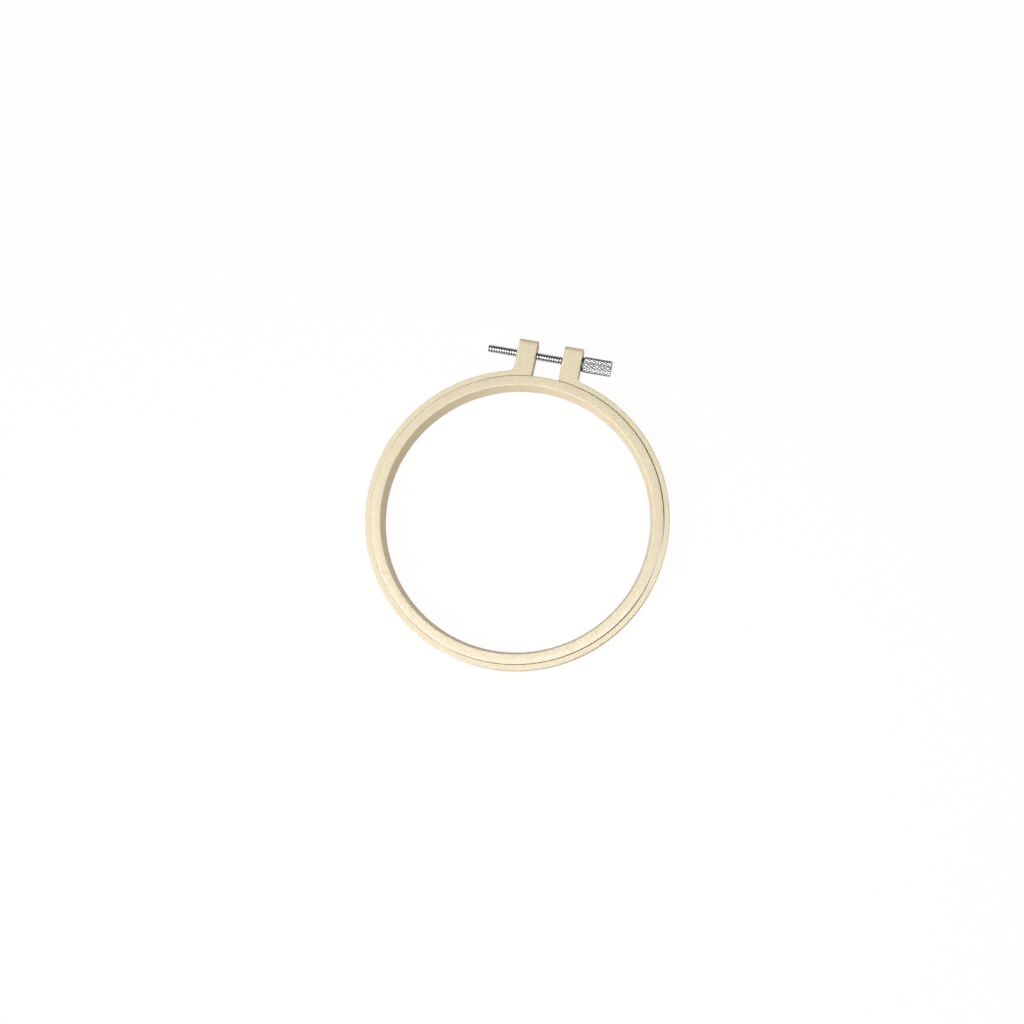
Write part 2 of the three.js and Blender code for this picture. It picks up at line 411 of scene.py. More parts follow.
def revolve(profile: Profile, axis: tuple[float, float], columns: int) -> bmesh.types.BMesh:
    """Turns a profile about a line along X.

    Args:
        profile: (x, radius) points, from the axis round to the axis, or closed on itself by its first point.
        axis: the line's y and z.
        columns: the number of stretches round the line.

    Returns:
        The closed shape.
    """
    shape = bmesh.new()
    rings = []
    for x, radius in profile:
        ring = []
        for column in range(columns):
            angle = 2 * math.pi * column / columns
            y, z = axis[0] + radius * math.cos(angle), axis[1] + radius * math.sin(angle)
            ring.append(shape.verts.new((x, y, z)))
        rings.append(ring)
    for here, there in zip(rings, rings[1:]):
        for column in range(columns):
            after = (column + 1) % columns
            shape.faces.new((here[column], here[after], there[after], there[column]))
    bmesh.ops.remove_doubles(shape, verts=shape.verts, dist=0.1 * MICRON)
    bmesh.ops.dissolve_degenerate(shape, edges=shape.edges, dist=0.01 * MICRON)
    return shape


class ShadeGroup(NodeNet):
    """A shader node group with named inputs and outputs."""

    def __init__(self, name: str) -> None:
        """Starts an empty group of that name."""
        super().__init__(bpy.data.node_groups.new(name, "ShaderNodeTree"))
        self.source = self.add("NodeGroupInput")
        self.sink = self.add("NodeGroupOutput")

    def takes(self, name: str, value: float | None = None) -> Field:
        """Adds a named input.

        Args:
            name: the input's name.
            value: the usual value of a number; without one the input is a vector.

        Returns:
            The input, for use in the group.
        """
        kind = "NodeSocketVector" if value is None else "NodeSocketFloat"
        socket = self.tree.interface.new_socket(name, in_out="INPUT", socket_type=kind)
        if value is not None:
            socket.default_value = value
        return Field(self, self.source.outputs[name])

    def gives(self, name: str, value: Field) -> None:
        """Adds an output with that value."""
        self.tree.interface.new_socket(name, in_out="OUTPUT", socket_type="NodeSocketFloat")
        self.feed(self.sink.inputs[name], value)

    def noise(self, vector: object, size: Field | float, detail: float, distortion: float = 0.0) -> Field:
        """Noise whose blotches are about that size.

        Args:
            vector: the place on the piece.
            size: the blotches' size in metres.
            detail: how many finer layers it has.
            distortion: how far the blotches are drawn out of shape.

        Returns:
            The noise, from 0 to 1.
        """
        values = {"Vector": vector, "Scale": 1.0 / size, "Detail": detail, "Distortion": distortion}
        return Field(self, self.node("ShaderNodeTexNoise", values).outputs[0])


def mottle_group() -> ShadeGroup:
    """Cloudy blotches with a finer grain in them, as pigment leaves in a moulding.

    Returns:
        The group, which gives Clouds and Grain from 0 to 1.
    """
    cloud_contrast, grain_contrast = (0.32, 0.68), (0.28, 0.72)
    group = ShadeGroup("fine_mottle")
    place = group.takes("Place")
    blotch = group.takes("Blotch Size", 2 * MM)
    grain = group.takes("Grain Size", 0.4 * MM)
    clouds = group.noise(place, blotch, detail=3.0, distortion=0.4)
    fine = group.noise(place, grain, detail=2.0)
    group.gives("Clouds", group.spread(clouds, cloud_contrast))
    group.gives("Grain", group.spread(fine, grain_contrast))
    return group


def speck_group() -> ShadeGroup:
    """Rare tiny specks, each in its own cell.

    Returns:
        The group, which gives Specks: 1 in a speck and 0 elsewhere.
    """
    full, gone = 0.6, 1.3
    group = ShadeGroup("rare_specks")
    place = group.takes("Place")
    spacing = group.takes("Spacing", 3 * MM)
    radius = group.takes("Speck Radius", 0.12 * MM)
    share = group.takes("Share", 0.1)
    cells = group.node("ShaderNodeTexVoronoi", {"Vector": place, "Scale": 1.0 / spacing}, feature="F1")
    chance = group.split(cells.outputs["Color"])[0]
    away = Field(group, cells.outputs["Distance"])
    size = radius / spacing
    dot = group.spread(away, (size * full, size * gone), (1.0, 0.0), smooth=True)
    group.gives("Specks", dot * group.math("LESS_THAN", chance, share))
    return group


def handling_group() -> ShadeGroup:
    """Soft smudges and fine scratches that handling leaves.

    Returns:
        The group, which gives Smudges and Scratches from 0 to 1.
    """
    stretch, slant = 0.12, 0.05
    smudge_contrast, scratch_contrast = (0.35, 0.7), (0.58, 0.74)
    group = ShadeGroup("handling_marks")
    place = group.takes("Place")
    smudge = group.takes("Smudge Size", 6 * MM)
    scratch = group.takes("Scratch Width", 0.1 * MM)
    x, y, z = group.split(place.socket)
    stretched = group.join(x * stretch + y * slant, y, z)
    lines = group.noise(stretched, scratch, detail=2.0)
    clouds = group.noise(place, smudge, detail=4.0, distortion=0.8)
    group.gives("Smudges", group.spread(clouds, smudge_contrast, smooth=True))
    group.gives("Scratches", group.spread(lines, scratch_contrast))
    return group


def recess_group() -> ShadeGroup:
    """How deep a place lies in a turned part's grooves.

    Returns:
        The group, which gives Depth: 1 at the grooves' bottom and 0 at their crests.
    """
    group = ShadeGroup("groove_depth")
    y, z = group.split(group.takes("Place").socket)[1:]
    across = y - group.takes("Axis Y", 0.0)
    up = z - group.takes("Axis Z", 0.0)
    low = group.takes("Bottom Radius", 1 * MM)
    high = group.takes("Crest Radius", 2 * MM)
    radius = group.math("SQRT", across * across + up * up)
    group.gives("Depth", group.spread(radius, (low, high), (1.0, 0.0)))
    return group


def seam_shade_group() -> ShadeGroup:
    """How much painted shade a place beside the rings' seam gets, which is most on the right.

    Returns:
        The group, which gives Seam: 0 away from the seam and up to about 1 beside it.
    """
    core = 0.2
    # painted shade: strongest on the right and the top, where the seam falls into shade
    usual, more_right, more_up = 0.55, 0.35, 0.15
    group = ShadeGroup("seam_nearness")
    x, y, _ = group.split(group.takes("Place").socket)
    up = y - group.takes("Centre Y", 0.0)
    radius = group.takes("Seam Radius", 73 * MM)
    width = group.takes("Half Width", 0.4 * MM)
    away = group.math("ABSOLUTE", group.math("SQRT", x * x + up * up) - radius)
    nearness = group.spread(away, (width * core, width), (1.0, 0.0), smooth=True)
    group.gives("Seam", nearness * (usual + x / radius * more_right + up / radius * more_up))
    return group


class Finishes:
    """The shader groups that the materials share, built once."""

    def __init__(self) -> None:
        """Builds every group."""
        self.mottle = mottle_group()
        self.specks = speck_group()
        self.handling = handling_group()
        self.recess = recess_group()
        self.seam = seam_shade_group()


class Paint(NodeNet):
    """One material's nodes, round its own Principled BSDF."""

    def __init__(self, name: str) -> None:
        """Starts a material whose patterns follow the piece's own place.

        Args:
            name: the material's name.
        """
        self.material = bpy.data.materials.new(name)
        self.material.use_nodes = True
        super().__init__(self.material.node_tree)
        self.shader = self.tree.nodes["Principled BSDF"]
        self.place = self.add("ShaderNodeTexCoord").outputs["Object"]

    def uses(self, group: ShadeGroup, **values: float) -> dict[str, Field]:
        """Places a shared group in the material.

        Args:
            group: the shared group.
            values: its own values here, with underscores for the spaces in the inputs' names.

        Returns:
            The group's outputs by name.
        """
        node = self.add("ShaderNodeGroup", node_tree=group.tree)
        self.feed(node.inputs["Place"], self.place)
        for name, value in values.items():
            node.inputs[name.replace("_", " ")].default_value = value
        return {output.name: Field(self, output) for output in node.outputs}

    def blend(self, factor: Field, first: object, second: object) -> bpy.types.NodeSocket:
        """Mixes two colours.

        Args:
            factor: the share of the second colour.
            first: the colour, or the socket that gives it, at 0.
            second: the colour or socket at 1.

        Returns:
            The mixed colour.
        """
        values = {0: factor, 6: with_alpha(first), 7: with_alpha(second)}
        return self.node("ShaderNodeMix", values, data_type="RGBA").outputs[2]

    def roughen(self, height: Field, distance: float, strength: float) -> None:
        """Gives the shader a bumpy normal.

        Args:
            height: the relief, from 0 to 1.
            distance: the relief's height in metres.
            strength: how much of it shows.
        """
        values = {"Height": height, "Distance": distance, "Strength": strength}
        self.feed(self.shader.inputs["Normal"], self.node("ShaderNodeBump", values).outputs[0])

    def sets(self, **values: object) -> None:
        """Sets the shader's own sockets, with underscores for the spaces in their names."""
        for name, value in values.items():
            self.feed(self.shader.inputs[name.replace("_", " ")], value)


def with_alpha(colour: object) -> object:
    """A plain colour with a full alpha; a socket as it is."""
    return (*colour, 1.0) if isinstance(colour, tuple) else colour


@dataclass(frozen=True)
class MouldedPlastic:
    """Satin cream plastic with a faint mottle, browned along the seam by painted shade.

    What isn't a colour, a length or the index of refraction is a share from 0 to 1.
    """

    name: str
    centre_y: float
    light: Colour = (0.92, 0.825, 0.62)
    dark: Colour = (0.82, 0.70, 0.485)
    speck: Colour = (0.30, 0.20, 0.11)
    # colour of the painted shade beside the seam
    seam_shade: Colour = (0.42, 0.29, 0.16)
    ior: float = 1.5
    seam_radius: float = 73.1 * MM
    seam_width: float = 0.4 * MM
    seam_shade_cover: float = 0.6
    speck_share: float = 0.05
    speck_cover: float = 0.8
    blotch: float = 1.6 * MM
    grain: float = 0.6 * MM
    grain_in_colour: float = 0.45
    smudge: float = 9.0 * MM
    scratch: float = 0.2 * MM
    grain_in_gloss: float = 0.35
    roughness: Span = (0.26, 0.40)
    relief_height: float = 0.012 * MM
    relief_strength: float = 0.6
    scratch_depth: float = 0.25
    translucence: float = 0.12
    translucence_depth: float = 1.2 * MM
    translucence_colour: Colour = (1.0, 0.65, 0.35)

    def material(self, groups: Finishes) -> bpy.types.Material:
        """Builds the material.

        Args:
            groups: the shared shader groups.

        Returns:
            The material.
        """
        paint = Paint(self.name)
        mottle = paint.uses(groups.mottle, Blotch_Size=self.blotch, Grain_Size=self.grain)
        specks = paint.uses(groups.specks, Share=self.speck_share)["Specks"]
        marks = paint.uses(groups.handling, Smudge_Size=self.smudge, Scratch_Width=self.scratch)
        seam = paint.uses(
            groups.seam, Centre_Y=self.centre_y, Seam_Radius=self.seam_radius, Half_Width=self.seam_width
        )["Seam"]
        cloud = mottle["Clouds"] * (1 - self.grain_in_colour) + mottle["Grain"] * self.grain_in_colour
        # painted shade: the colour browns beside the seam, most on the right and the top
        body = paint.blend(seam * self.seam_shade_cover, paint.blend(cloud, self.dark, self.light), self.seam_shade)
        gloss = mottle["Grain"] * self.grain_in_gloss + marks["Smudges"] * (1 - self.grain_in_gloss)
        relief = mottle["Grain"] + marks["Scratches"] * -self.scratch_depth
        paint.sets(
            Base_Color=paint.blend(specks * self.speck_cover, body, self.speck),
            Roughness=paint.spread(gloss, (0.0, 1.0), self.roughness),
            IOR=self.ior,
            Subsurface_Weight=self.translucence,
            Subsurface_Radius=self.translucence_colour,
            Subsurface_Scale=self.translucence_depth,
        )
        paint.roughen(relief, self.relief_height, self.relief_strength)
        return paint.material


@dataclass(frozen=True)
class TurnedMetal:
    """Metal that was turned or rolled, with painted shade down in its grooves.

    axis is its axis's y and z. groove gives the radii where the painted shade is full and where it starts,
    and shade how much of the metal it then covers. What isn't a length is a share from 0 to 1.
    """

    name: str
    metal: Metal
    axis: tuple[float, float]
    groove: Span
    shade: float = 0.92
    patchiness: float = 0.3
    smudge: float = 2.2 * MM
    scratch: float = 0.06 * MM
    scratch_in_gloss: float = 0.4
    relief_height: float = 0.004 * MM
    relief_strength: float = 0.3

    def material(self, groups: Finishes) -> bpy.types.Material:
        """Builds the material.

        Args:
            groups: the shared shader groups.

        Returns:
            The material.
        """
        bright, groove_shade, roughness = self.metal.value
        paint = Paint(self.name)
        marks = paint.uses(groups.handling, Smudge_Size=self.smudge, Scratch_Width=self.scratch)
        depth = paint.uses(
            groups.recess,
            Axis_Y=self.axis[0],
            Axis_Z=self.axis[1],
            Bottom_Radius=self.groove[0],
            Crest_Radius=self.groove[1],
        )["Depth"]
        # painted shade: the grooves' depth darkens the metal towards its shaded colour, patchy with the
        # smudges
        groove_shade_mask = depth * (1 - self.patchiness + marks["Smudges"] * self.patchiness) * self.shade
        worn = marks["Smudges"] * (1 - self.scratch_in_gloss) + marks["Scratches"] * self.scratch_in_gloss
        paint.sets(
            Base_Color=paint.blend(groove_shade_mask, bright, groove_shade),
            Metallic=1.0,
            Roughness=paint.spread(worn, (0.0, 1.0), roughness),
        )
        paint.roughen(marks["Scratches"], self.relief_height, self.relief_strength)
        return paint.material


@dataclass
class OuterRing:
    """The split outer ring, one moulding with its two lugs and the holes for the screw.

    Its bore is a little off centre, so the seam is widest on the right and nearly closed on the left.
    square_deg is how far the faces at an edge turn, at the least, for the edge to be rounded.
    """

    corners: Corners
    screw_axis: tuple[float, float]
    wall: float = 2.75 * MM
    bore_shift: tuple[float, float] = (0.18 * MM, 0.07 * MM)
    edge_round: float = 0.55 * MM
    seam_round: float = 0.11 * MM
    lug_inner: float = 6.9 * MM
    lug_outer: float = 16.7 * MM
    top_round: float = 3.4 * MM
    corner_round: float = 0.9 * MM
    root_fillet: float = 3.0 * MM
    bore_radius: float = 2.4 * MM
    insert_bore_radius: float = 3.3 * MM
    insert_seat: float = -8.6 * MM
    hole_chamfer: float = 0.3 * MM
    square_deg: float = 30.0
    crease_deg: float = 38.0
    cut_margin: float = 1.0 * MM
    front_margin: float = 0.01 * MM
    ring_steps: int = 320
    corner_steps: int = 6
    fillet_steps: int = 10
    top_steps: int = 20
    hole_steps: int = 64
    edge_steps: int = 4

    def outline(self) -> Profile:
        """The moulding seen from the front: the right half, the left one as its mirror, then the bore.

        Returns:
            The outline's points, in order.
        """
        radius = self.corners[1].x
        middle = self.corners[0].y + radius
        inside = radius - self.wall
        top = self.corners[1].y
        fillet_x = self.lug_outer + self.root_fillet
        fillet_y = math.sqrt((radius + self.root_fillet) ** 2 - fillet_x**2)
        turn = math.degrees(math.atan2(fillet_y, fillet_x))
        across, up = self.bore_shift
        bore_start = 180 - math.degrees(math.acos((self.lug_inner + across) / inside))
        bore_end = 360 + math.degrees(math.acos((self.lug_inner - across) / inside))
        half = self.ring_steps // 2
        corner = self.corner_round
        right = arc((self.lug_inner + corner, top - corner), corner, (180, 90), self.corner_steps)
        right += arc((self.lug_outer - corner, top - corner), corner, (90, 0), self.corner_steps)
        right += arc((fillet_x, middle + fillet_y), self.root_fillet, (180, 180 + turn), self.fillet_steps)
        right += arc((0, middle), radius, (turn, -90), half)[1:]
        left = [(-x, y) for x, y in reversed(right[:-1])]
        bore = arc((across, middle + up), inside, (bore_start, bore_end), self.ring_steps)
        return right + left + bore

    def blank(self) -> bpy.types.Object:
        """The outline raised to the ring's depth, its edges still square."""
        low, high = self.corners[0].z, self.corners[1].z
        return prism("outer_ring_moulding", [(x, y, low) for x, y in self.outline()], (0, 0, high - low))

    def top_cutter(self) -> bpy.types.Object:
        """A prism along X that takes the square front edge off both lugs' tops.

        Returns:
            The cutter.
        """
        top, high = self.corners[1].y, self.corners[1].z
        reach, spare = self.top_round, self.cut_margin
        curve = arc((top - reach, high - reach), reach, (90, 0), self.top_steps)
        curve += [(top + spare, high - reach), (top + spare, high + spare), (top - reach, high + spare)]
        length = self.lug_outer + spare
        return prism("lug_top_cutter", [(-length, y, z) for y, z in curve], (2 * length, 0, 0))

    def hole_cutter(self) -> bpy.types.Object:
        """What the screw and the insert need cut out of the two lugs, with a chamfer at each mouth.

        Returns:
            The cutter.
        """
        cut, spare = self.hole_chamfer, self.cut_margin
        wide = cut + spare
        seat, bore = self.insert_bore_radius, self.bore_radius
        left, right, gap = -self.lug_outer, self.lug_outer, self.lug_inner
        profile = [
            (left - spare, 0.0),
            (left - spare, seat + wide),
            (left + cut, seat),
            (self.insert_seat, seat),
            (self.insert_seat, bore),
            (-gap - cut, bore),
            (-gap + spare, bore + wide),
            (gap - spare, bore + wide),
            (gap + cut, bore),
            (right - cut, bore),
            (right + spare, bore + wide),
            (right + spare, 0.0),
        ]
        return plain_piece("lug_hole_cutter", revolve(profile, self.screw_axis, self.hole_steps))

    def weigh_edges(self, mesh: bpy.types.Mesh) -> None:
        """Says how round each edge becomes: the one at the seam is nearly square.

        Args:
            mesh: the moulding's mesh, its edges still square.
        """
        radius = self.corners[1].x
        middle = self.corners[0].y + radius
        seam = radius - self.wall / 2
        shape = bmesh.new()
        shape.from_mesh(mesh)
        weights = shape.edges.layers.float.new("bevel_weight_edge")
        for edge in shape.edges:
            if edge.calc_face_angle(0.0) < math.radians(self.square_deg):
                continue
            front = all(vert.co.z > self.corners[1].z - self.front_margin for vert in edge.verts)
            inside = all(math.hypot(vert.co.x, vert.co.y - middle) < seam for vert in edge.verts)
            edge[weights] = self.seam_round / self.edge_round if front and inside else 1.0
        shape.to_mesh(mesh)
        shape.free()

    def build(self, finish: bpy.types.Material) -> None:
        """Cuts the blank, rounds its edges, then bores it.

        Args:
            finish: the moulding's material.
        """
        piece = self.blank()
        cut_away(piece, self.top_cutter())
        self.weigh_edges(piece.data)
        bevel = piece.modifiers.new("edges", "BEVEL")
        bevel.width = self.edge_round
        bevel.segments = self.edge_steps
        bevel.limit_method = "WEIGHT"
        bevel.use_clamp_overlap = False
        cut_away(piece, self.hole_cutter())
        piece.data.materials.clear()
        piece.data.materials.append(finish)
        smooth_shape(piece, self.crease_deg)
        fit_out(piece, "outer_ring", Body.FRAME)


@dataclass
class InnerRing:
    """The plain inner ring: a four-sided section swept round a circle by rule.

    seam_corner is the number of the section's corner that lies at the seam. The marks are shallow discs
    that the mould's pins leave, on a circle of radius mark_place.
    """

    corners: Corners
    front_wall: float = 5.0 * MM
    back_wall: float = 6.4 * MM
    edge_round: float = 0.65 * MM
    seam_round: float = 0.18 * MM
    crown_width: float = 2.6 * MM
    crown_radius: float = 12.0 * MM
    seam_corner: int = 3
    mark_place: float = 70.3 * MM
    mark_radius: float = 1.6 * MM
    mark_depth: float = 0.16 * MM
    mark_count: int = 4
    mark_turn: float = math.radians(124.0)
    mark_steps: int = 40
    pin_length: float = 2.0 * MM
    crease_deg: float = 38.0
    ring_steps: int = 320
    corner_points: int = 6
    side_cuts: int = 2

    def rule(self) -> ShapeRule:
        """The tree: section, fillets, sweep, crowned face and the round marks that ejector pins leave.

        Returns:
            The tree.
        """
        rule = ShapeRule("swept_ring")
        radius, depth, front, back = rule.numbers("Radius", "Depth", "Front Wall", "Back Wall")
        edge, seam = rule.numbers("Edge Round", "Seam Round")
        crown_width, crown_radius = rule.numbers("Crown Width", "Crown Radius")
        centre = rule.takes("Centre", "NodeSocketVector")
        steps = rule.takes("Steps", "NodeSocketInt")
        # the sweep turns the section over, so its bottom side becomes the ring's front
        section = {
            "Height": depth,
            "Bottom Width": front,
            "Top Width": back,
            "Offset": (front - back) / 2.0,
        }
        quad = rule.node("GeometryNodeCurvePrimitiveQuadrilateral", section, mode="TRAPEZOID").outputs[0]
        corner = Field(rule, rule.add("GeometryNodeInputIndex").outputs[0])
        at_seam = rule.math("COMPARE", corner, float(self.seam_corner), 0.5)
        rounded = {"Curve": quad, "Count": self.corner_points, "Radius": edge + (seam - edge) * at_seam}
        fillets = rule.node("GeometryNodeFilletCurve", rounded, mode="POLY").outputs[0]
        fine = rule.node("GeometryNodeSubdivideCurve", {"Curve": fillets, "Cuts": self.side_cuts}).outputs[0]
        circle = {"Resolution": steps, "Radius": radius - front / 2.0}
        ring = rule.node("GeometryNodeCurvePrimitiveCircle", circle).outputs[0]
        path = rule.node("GeometryNodeSetCurveNormal", {"Curve": ring}, mode="Z_UP").outputs[0]
        sweep = rule.node("GeometryNodeCurveToMesh", {"Curve": path, "Profile Curve": fine}).outputs[0]
        x, y, z = rule.split(rule.add("GeometryNodeInputPosition").outputs[0])
        out = rule.math("SQRT", x * x + y * y)
        past = rule.math("MAXIMUM", out - (radius - crown_width), 0.0)
        fall = past * past / (2.0 * crown_radius) * rule.spread(z, (0.0, depth * 0.5))
        sunk = {"Geometry": sweep, "Offset": rule.join(0.0, 0.0, -1.0 * fall)}
        crowned = rule.node("GeometryNodeSetPosition", sunk).outputs[0]
        placed = rule.node("GeometryNodeTransform", {"Geometry": crowned, "Translation": centre}).outputs[0]
        both = {0: placed, 1: self.pin_marks(rule, depth, centre)}
        marked = rule.node("GeometryNodeMeshBoolean", both, operation="DIFFERENCE", solver="EXACT")
        rule.gives(marked.outputs[0])
        return rule

    def pin_marks(self, rule: ShapeRule, depth: Field, centre: Field) -> bpy.types.NodeSocket:
        """Round cutters at equal turns about the ring.

        Args:
            rule: the tree that they go into.
            depth: the ring's depth.
            centre: the ring's centre.

        Returns:
            The cutters as one geometry.
        """
        place, size = rule.numbers("Mark Place", "Mark Radius")
        sunk, turn = rule.numbers("Mark Depth", "Mark Turn")
        count = rule.takes("Mark Count", "NodeSocketInt")
        spots = rule.node("GeometryNodeMeshCircle", {"Vertices": count, "Radius": place}).outputs[0]
        height = depth * 0.5 - sunk + self.pin_length / 2
        values = {
            "Geometry": spots,
            "Translation": rule.join(0.0, 0.0, height),
            "Rotation": rule.join(0.0, 0.0, turn),
        }
        lifted = rule.node("GeometryNodeTransform", values).outputs[0]
        pin = {"Vertices": self.mark_steps, "Radius": size, "Depth": self.pin_length}
        cutter = rule.node("GeometryNodeMeshCylinder", pin).outputs[0]
        dotted = rule.node("GeometryNodeInstanceOnPoints", {"Points": lifted, "Instance": cutter}).outputs[0]
        return rule.node("GeometryNodeTransform", {"Geometry": dotted, "Translation": centre}).outputs[0]

    def build(self, finish: bpy.types.Material) -> None:
        """Sweeps the ring and puts it in place.

        Args:
            finish: the ring's material.
        """
        low, high = self.corners
        values = {
            "Radius": high.x,
            "Depth": high.z - low.z,
            "Front Wall": self.front_wall,
            "Back Wall": self.back_wall,
            "Edge Round": self.edge_round,
            "Seam Round": self.seam_round,
            "Crown Width": self.crown_width,
            "Crown Radius": self.crown_radius,
            "Centre": (0.0, (low.y + high.y) / 2, (low.z + high.z) / 2),
            "Steps": self.ring_steps,
            "Mark Place": self.mark_place,
            "Mark Radius": self.mark_radius,
            "Mark Depth": self.mark_depth,
            "Mark Turn": self.mark_turn,
            "Mark Count": self.mark_count,
            "Material": finish,
        }
        piece = self.rule().bake("inner_ring_moulding", values)
        smooth_shape(piece, self.crease_deg)
        fit_out(piece, "inner_ring", Body.INNER)


def groove_span(crest_radius: float, depth: float, groove_shade: Span) -> Span:
    """The radii where a groove's painted shade is full and where it starts."""
    return crest_radius - groove_shade[0] * depth, crest_radius - groove_shade[1] * depth


@dataclass
class ClampScrew:
    """The screw's line: threaded shank, knurled head, washer and the brass insert in the left lug.

    A painted shade span gives how deep in a groove that shade is full and where it starts, as shares of the
    groove's depth. The land is the share of the knurl's spacing that is left between its grooves.
    """

    shank: Corners
    head: Corners
    washer: Corners
    insert: Corners
    pitch: float = 1.3 * MM
    crest: float = 0.26 * MM
    root: float = 0.30 * MM
    thread_depth: float = 0.6 * MM
    thread_radius: float = 2.1 * MM
    thread_clearance: float = 0.25 * MM
    tip_chamfer: float = 0.5 * MM
    pin_radius: float = 1.7 * MM
    socket_radius: float = 2.0 * MM
    socket_depth: float = 9.0 * MM
    knurl_depth: float = 0.35 * MM
    knurl_around: int = 17
    knurl_along: int = 5
    knurl_land: float = 0.35
    knurl_samples: int = 12
    head_chamfer: float = 0.3 * MM
    washer_bore_radius: float = 2.4 * MM
    washer_round: float = 0.12 * MM
    # where the painted shade in the thread's and the knurl's grooves is full and where it starts
    thread_painted_shade: Span = (0.8, 0.0)
    knurl_painted_shade: Span = (0.7, 0.1)
    thread_crease_deg: float = 30.0
    knurl_crease_deg: float = 20.0
    washer_crease_deg: float = 40.0
    spare_turns: int = 2
    rows_per_pitch: int = 16
    columns: int = 48
    washer_columns: int = 96
    washer_round_steps: int = 4

    @property
    def axis(self) -> tuple[float, float]:
        """The screw line's y and z."""
        low, high = self.head
        return (low.y + high.y) / 2, (low.z + high.z) / 2

    def thread_rule(self) -> ShapeRule:
        """The tree: a grid wound along a helix, its radius set by how far along the pitch each point is.

        Returns:
            The tree.
        """
        rule = ShapeRule("wound_thread")
        first, start, thread_end, end = rule.numbers("First Turn", "Start", "Thread End", "End")
        pitch, crest, root, depth = rule.numbers("Pitch", "Crest", "Root", "Thread Depth")
        high, tip, pin, close = rule.numbers("Crest Radius", "Tip Radius", "Pin Radius", "End Radius")
        axis_y, axis_z = rule.numbers("Axis Y", "Axis Z")
        rows, per_pitch, around = rule.numbers("Rows", "Rows per Pitch", "Columns", kind="NodeSocketInt")
        counts = {"Size X": 1.0, "Size Y": 1.0, "Vertices X": rows, "Vertices Y": around + 1.0}
        grid = rule.node("GeometryNodeMeshGrid", counts).outputs[0]
        u, v, _ = rule.split(rule.add("GeometryNodeInputPosition").outputs[0])
        turns = (u + 0.5) * (rows - 1.0) / per_pitch
        along = (first + turns + v + 0.5) * pitch
        held = rule.math("MINIMUM", rule.math("MAXIMUM", along, start), end)
        phase = rule.math("FRACT", (held - crest * 0.5) / pitch - v)
        aside = rule.math("ABSOLUTE", phase - 0.5) * pitch
        flank = (pitch - crest - root) / 2.0
        tooth = rule.spread(aside, (crest / 2.0, crest / 2.0 + flank), (high, high - depth))
        pointed = rule.math("MINIMUM", tooth, tip + held - start)
        plain = rule.math("GREATER_THAN", held, thread_end)
        shaft = pointed + (pin - pointed) * plain
        over = rule.math("MAXIMUM", start - along, along - end)
        closing = rule.spread(over, (0.0, pitch * 0.5))
        radius = shaft + (close - shaft) * closing
        angle = (v + 0.5) * (2 * math.pi)
        y = axis_y + radius * rule.math("COSINE", angle)
        z = axis_z + radius * rule.math("SINE", angle)
        wound = rule.node("GeometryNodeSetPosition", {"Geometry": grid, "Position": rule.join(held, y, z)})
        merged = rule.node("GeometryNodeMergeByDistance", {"Geometry": wound.outputs[0], "Distance": MICRON})
        turned = rule.node("GeometryNodeFlipFaces", {"Mesh": merged.outputs[0]})
        rule.gives(turned.outputs[0])
        return rule

    def thread_values(self, start: float, end: float) -> dict[str, object]:
        """Values of the thread's tree that the shank and the insert share.

        Args:
            start: where the thread starts along X.
            end: where the piece ends.

        Returns:
            The values by the inputs' names.
        """
        first = math.floor(start / self.pitch) - self.spare_turns
        turns = math.ceil(end / self.pitch) + self.spare_turns - first
        return {
            "First Turn": float(first),
            "Start": start,
            "End": end,
            "Pitch": self.pitch,
            "Crest": self.crest,
            "Root": self.root,
            "Thread Depth": self.thread_depth,
            "Axis Y": self.axis[0],
            "Axis Z": self.axis[1],
            "Rows": turns * self.rows_per_pitch + 1,
            "Rows per Pitch": self.rows_per_pitch,
            "Columns": self.columns,
        }

    def build_shank(self, rule: ShapeRule, finish: bpy.types.Material) -> None:
        """The threaded shank with its chamfered tip and the plain pin that sits in the head.

        Args:
            rule: the thread's tree.
            finish: the shank's material.
        """
        values = self.thread_values(self.shank[0].x, self.shank[1].x)
        values |= {
            "Thread End": self.washer[1].x,
            "Crest Radius": self.thread_radius,
            "Tip Radius": self.thread_radius - self.tip_chamfer,
            "Pin Radius": self.pin_radius,
            "End Radius": 0.0,
            "Material": finish,
        }
        piece = rule.bake("threaded_shank", values)
        smooth_shape(piece, self.thread_crease_deg)
        fit_out(piece, "screw_shank", Body.SCREW)

    def build_insert(self, rule: ShapeRule, finish: bpy.types.Material) -> None:
        """The brass insert: a threaded bore in a plain sleeve.

        Args:
            rule: the thread's tree.
            finish: the insert's material.
        """
        low, high = self.insert
        sleeve_radius = (high.z - low.z) / 2
        values = self.thread_values(low.x, high.x)
        values |= {
            "Thread End": high.x + self.pitch,
            "Crest Radius": self.thread_radius + self.thread_clearance,
            "Tip Radius": sleeve_radius,
            "Pin Radius": sleeve_radius,
            "End Radius": sleeve_radius,
            "Material": finish,
        }
        piece = rule.bake("brass_insert", values)
        shape = bmesh.new()
        shape.from_mesh(piece.data)
        wall = revolve([(low.x, sleeve_radius), (high.x, sleeve_radius)], self.axis, self.columns)
        sleeve = bpy.data.meshes.new("sleeve")
        wall.to_mesh(sleeve)
        wall.free()
        shape.from_mesh(sleeve)
        bpy.data.meshes.remove(sleeve)
        bmesh.ops.remove_doubles(shape, verts=shape.verts, dist=2 * MICRON)
        bmesh.ops.recalc_face_normals(shape, faces=shape.faces)
        shape.to_mesh(piece.data)
        shape.free()
        smooth_shape(piece, self.thread_crease_deg)
        fit_out(piece, "threaded_insert", Body.FRAME)

